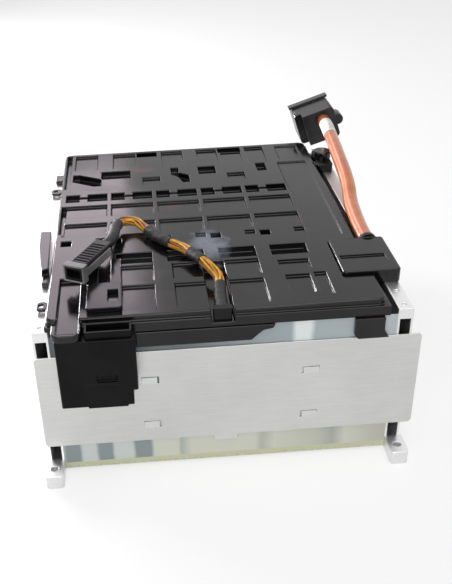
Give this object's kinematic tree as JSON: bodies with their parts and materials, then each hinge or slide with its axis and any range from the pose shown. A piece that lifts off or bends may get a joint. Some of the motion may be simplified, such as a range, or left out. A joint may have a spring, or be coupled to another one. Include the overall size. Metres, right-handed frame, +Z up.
{
  "type": "electric vehicle battery module",
  "caption": "Clamped prismatic-cell traction battery module with hollow end beams, moulded busbar cover, monitor unit, harness and orange power lead",
  "frame": {"origin": "midpoint of the underside of the module's box without its two cords, at the feet", "axes": "X across the module from the monitor unit's side to the power lead's side, Y from the front plate to the rear, Z up"},
  "size_m": [0.3307, 0.434, 0.1865],
  "materials": {
    "beam_extrusion": "plain extruded",
    "clamp_plate": "brushed",
    "cell_can": "satin",
    "spacer_card": "matt",
    "liner_moulding": "matt",
    "insulating_film": "translucent film",
    "thermal_pad": "soft matt",
    "busbar_aluminium": "plain rolled",
    "bolt_steel": "zinc plated",
    "carrier_moulding": "fine grain",
    "cover_moulding": "satin black",
    "circuit_board": "lacquered",
    "connector_moulding": "fine grain",
    "lock_moulding": "smooth",
    "harness_tape": "cloth tape and orange sheath",
    "hv_sheath": "smooth"
  },
  "bodies": {
    "root": {"beam_left": "beam_extrusion", "beam_right": "beam_extrusion", "front_plate": "clamp_plate", "rear_plate": "clamp_plate", "cell_01": "cell_can", "cell_02": "cell_can", "cell_03": "cell_can", "cell_04": "cell_can", "cell_05": "cell_can", "cell_06": "cell_can", "cell_07": "cell_can", "cell_08": "cell_can", "cell_09": "cell_can", "cell_10": "cell_can", "cell_11": "cell_can", "cell_12": "cell_can", "cell_spacer_1": "spacer_card", "cell_spacer_2": "spacer_card", "cell_spacer_3": "spacer_card", "cell_spacer_4": "spacer_card", "cell_spacer_5": "spacer_card", "end_liner_left": "liner_moulding", "end_liner_right": "liner_moulding", "front_film": "insulating_film", "rear_film": "insulating_film", "thermal_pad": "thermal_pad", "busbar_01": "busbar_aluminium", "busbar_02": "busbar_aluminium", "busbar_03": "busbar_aluminium", "busbar_04": "busbar_aluminium", "busbar_05": "busbar_aluminium", "busbar_06": "busbar_aluminium", "busbar_07": "busbar_aluminium", "busbar_08": "busbar_aluminium", "busbar_09": "busbar_aluminium", "busbar_10": "busbar_aluminium", "busbar_11": "busbar_aluminium", "output_bar_front": "busbar_aluminium", "output_bar_rear": "busbar_aluminium", "terminal_bolts": "bolt_steel", "busbar_carrier": "carrier_moulding", "front_skirt": "cover_moulding", "top_cover": "cover_moulding", "front_clip": "cover_moulding", "monitor_housing": "cover_moulding", "monitor_board": "circuit_board", "socket_header": "cover_moulding", "docking_bracket": "cover_moulding", "hv_hood": "cover_moulding", "rear_terminal_block": "cover_moulding", "rear_terminal_cap": "cover_moulding", "side_lead_hood": "cover_moulding", "lv_harness": "harness_tape", "harness_clamp": "connector_moulding", "lv_plug": "connector_moulding", "lv_plug_lock": "lock_moulding", "hv_cable": "hv_sheath", "hv_connector": "connector_moulding", "hv_connector_lever": "lock_moulding"}
  },
  "joints": []
}
